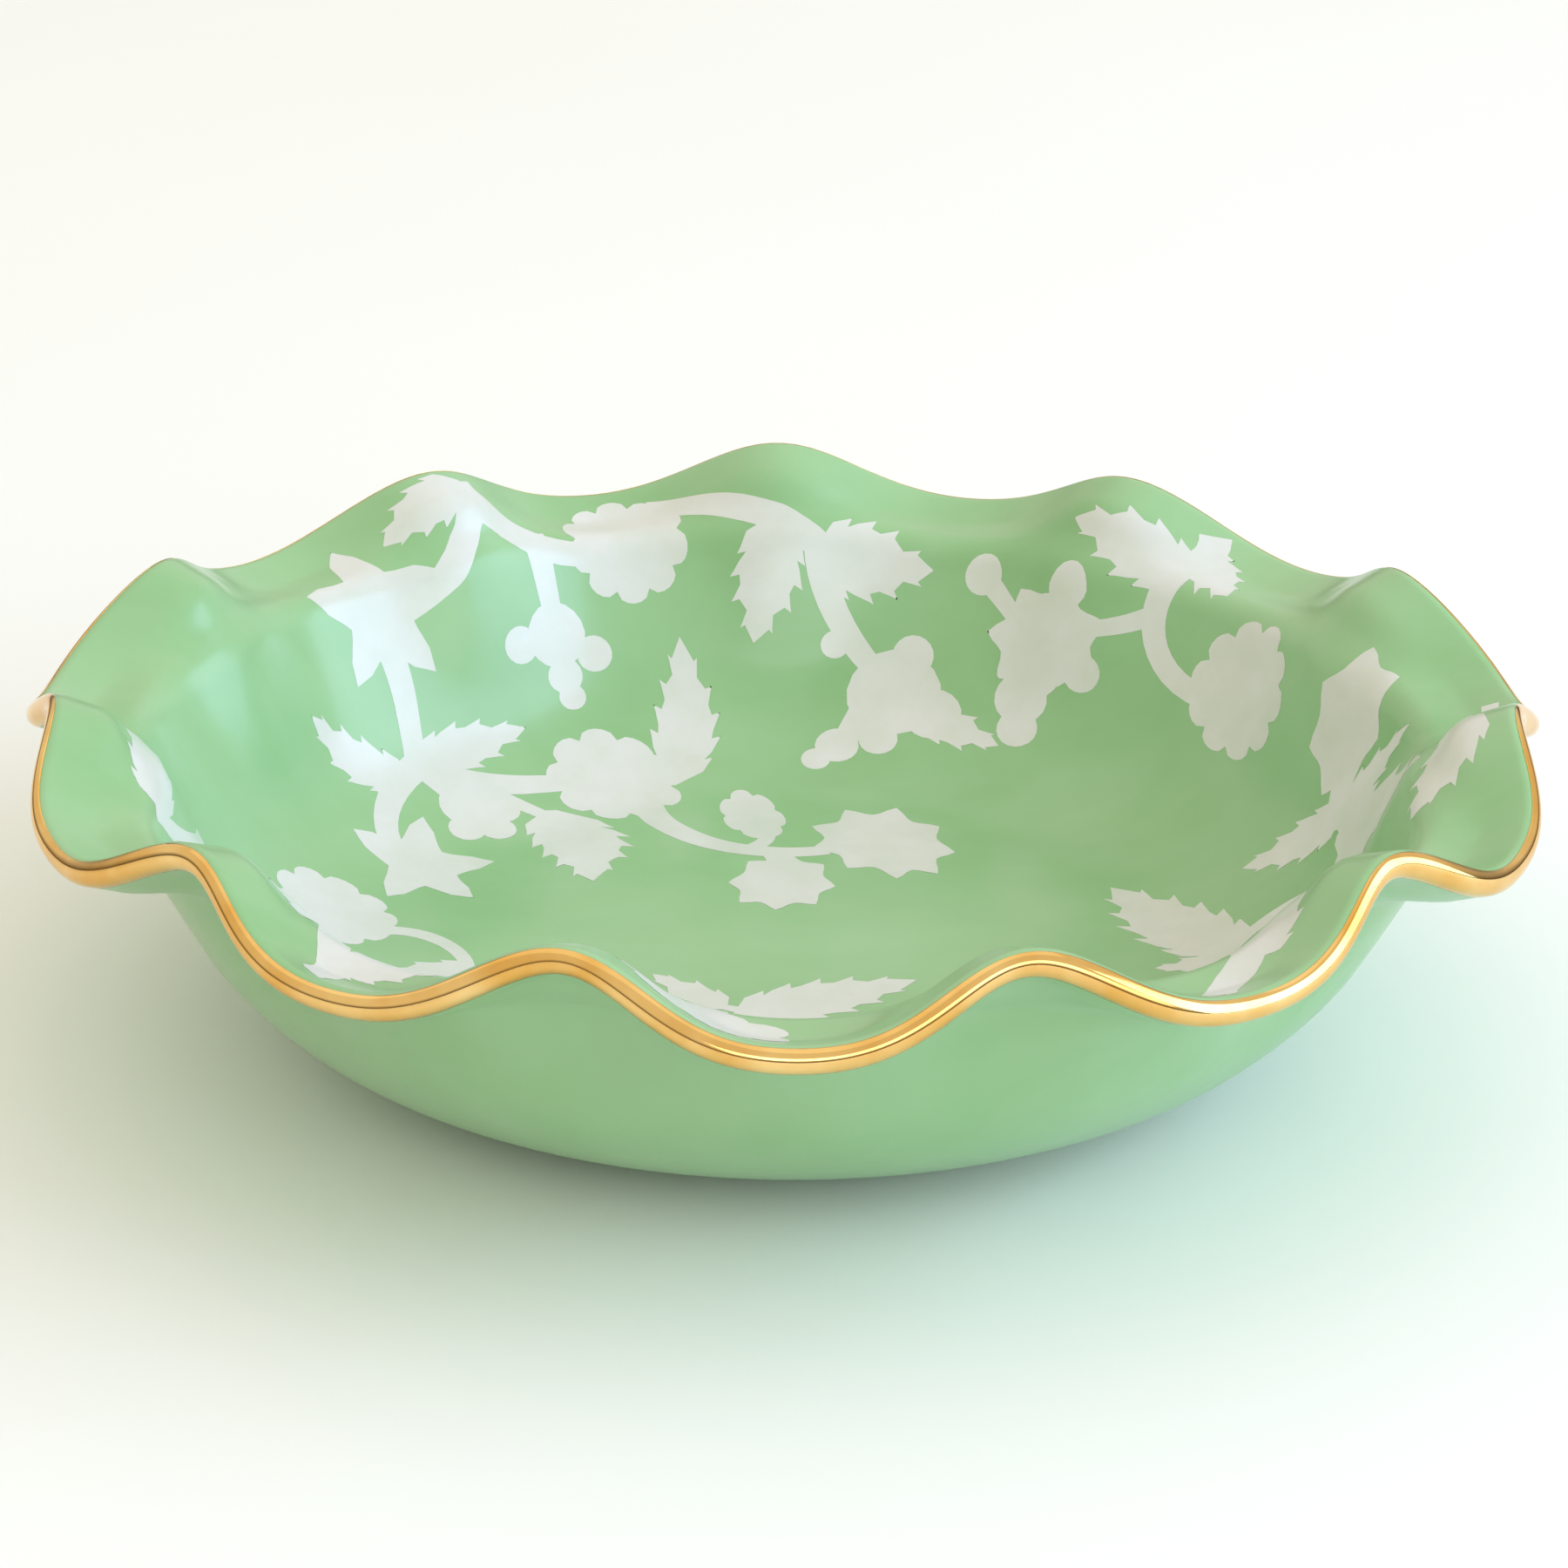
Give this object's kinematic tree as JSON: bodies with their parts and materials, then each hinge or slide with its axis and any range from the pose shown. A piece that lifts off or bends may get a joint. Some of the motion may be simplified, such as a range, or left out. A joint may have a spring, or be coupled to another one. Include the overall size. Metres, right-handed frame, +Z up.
{
  "type": "porcelain serving bowl",
  "caption": "Shallow round serving bowl with an evenly ruffled flaring rim and a low foot ring, glazed inside and out, with a metallic lip and a leaf-and-blossom vine inside.",
  "frame": {"origin": "on the bowl's axis, in the plane that the foot ring stands on", "axes": "+Z up along the bowl's axis, out of its mouth; -Y through the middle of a dip in the ruffle, which is the front"},
  "size_m": [0.29, 0.2881, 0.0711],
  "materials": {
    "white_porcelain": "bare fired clay, matt",
    "green_glaze": "glossy pale green glaze",
    "gold_lustre": "bright gold lustre",
    "white_enamel": "glossy white enamel"
  },
  "bodies": {
    "root": {"back_left_vine": "white_enamel", "back_right_vine": "white_enamel", "floor_sprig": "white_enamel", "front_left_vine": "white_enamel", "front_right_vine": "white_enamel", "front_vine": "white_enamel", "gold_rim_band": "gold_lustre", "inner_green_glaze": "green_glaze", "left_floor_sprig": "white_enamel", "left_lip_sprig": "white_enamel", "outer_green_glaze": "green_glaze", "porcelain_body": "white_porcelain", "right_lip_sprig": "white_enamel", "right_vine": "white_enamel"}
  },
  "joints": []
}
